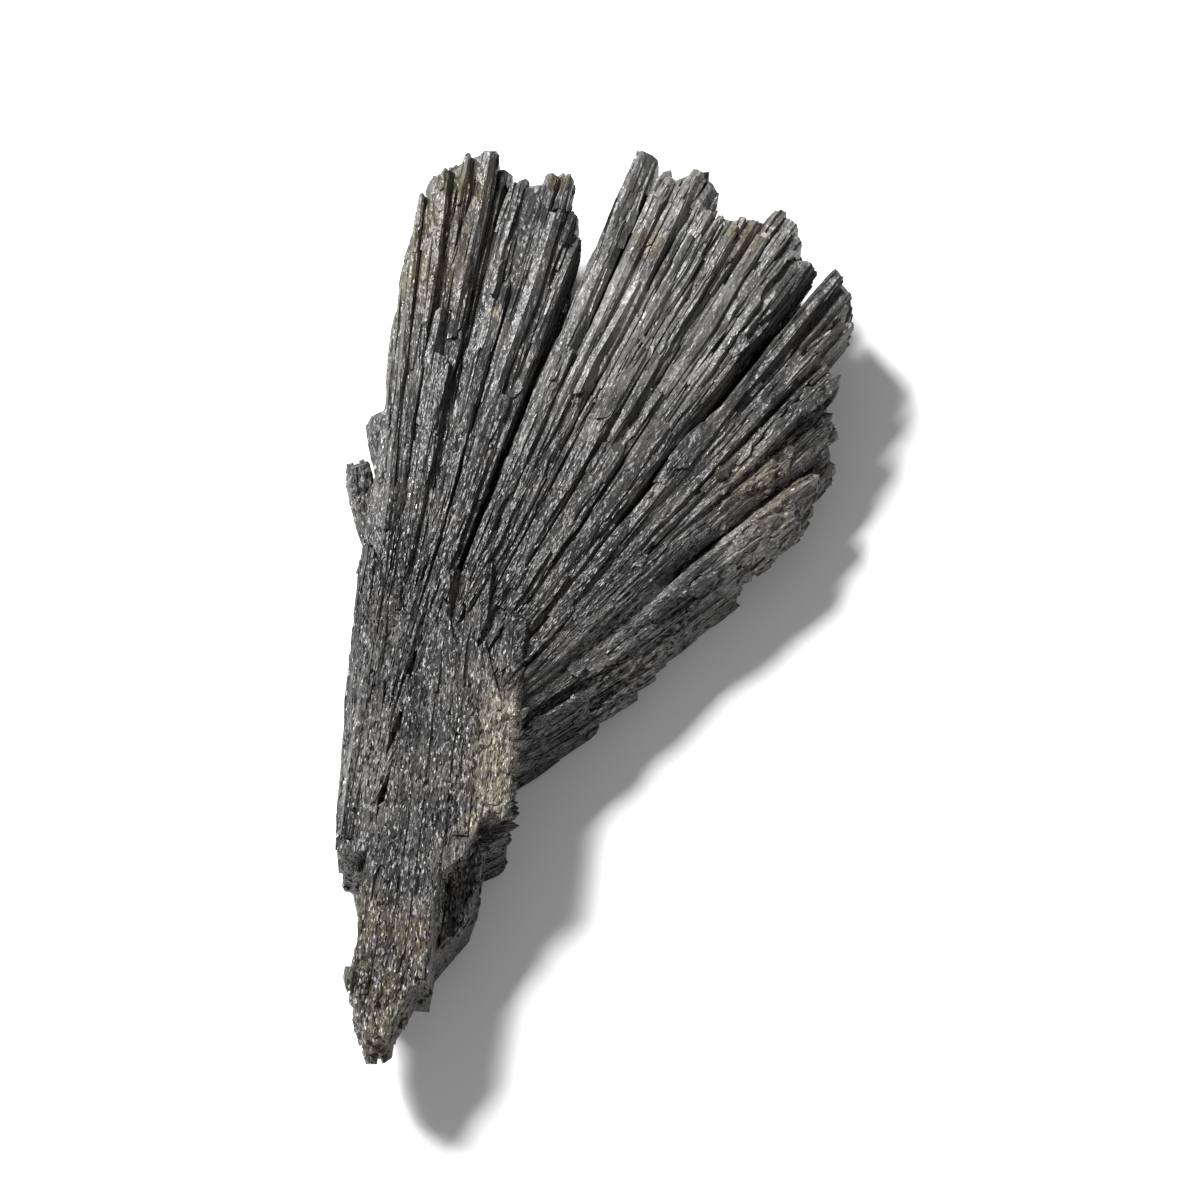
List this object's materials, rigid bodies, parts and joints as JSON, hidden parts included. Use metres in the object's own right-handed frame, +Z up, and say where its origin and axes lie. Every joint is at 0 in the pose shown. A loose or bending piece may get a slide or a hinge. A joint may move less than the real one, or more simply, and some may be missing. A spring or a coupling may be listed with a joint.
{
  "type": "black kyanite fan",
  "caption": "Natural black kyanite crystal fan: thin dark blades grown together, spreading from a narrow broken stem to a ragged broad end, lying on its flat back.",
  "frame": {"origin": "on the flat back, under the middle of the fan's bounding box", "axes": "+Z up from the flat back it rests on, +Y along its length from the stem towards the broad end, +X to the right seen from above with the stem nearest"},
  "size_m": [0.0376, 0.0734, 0.0095],
  "materials": {
    "kyanite": "charcoal black, finely striated along the blades, glittering grains, brown and ochre stains near the stem"
  },
  "bodies": {
    "root": {"kyanite_fan": "kyanite"}
  },
  "joints": []
}
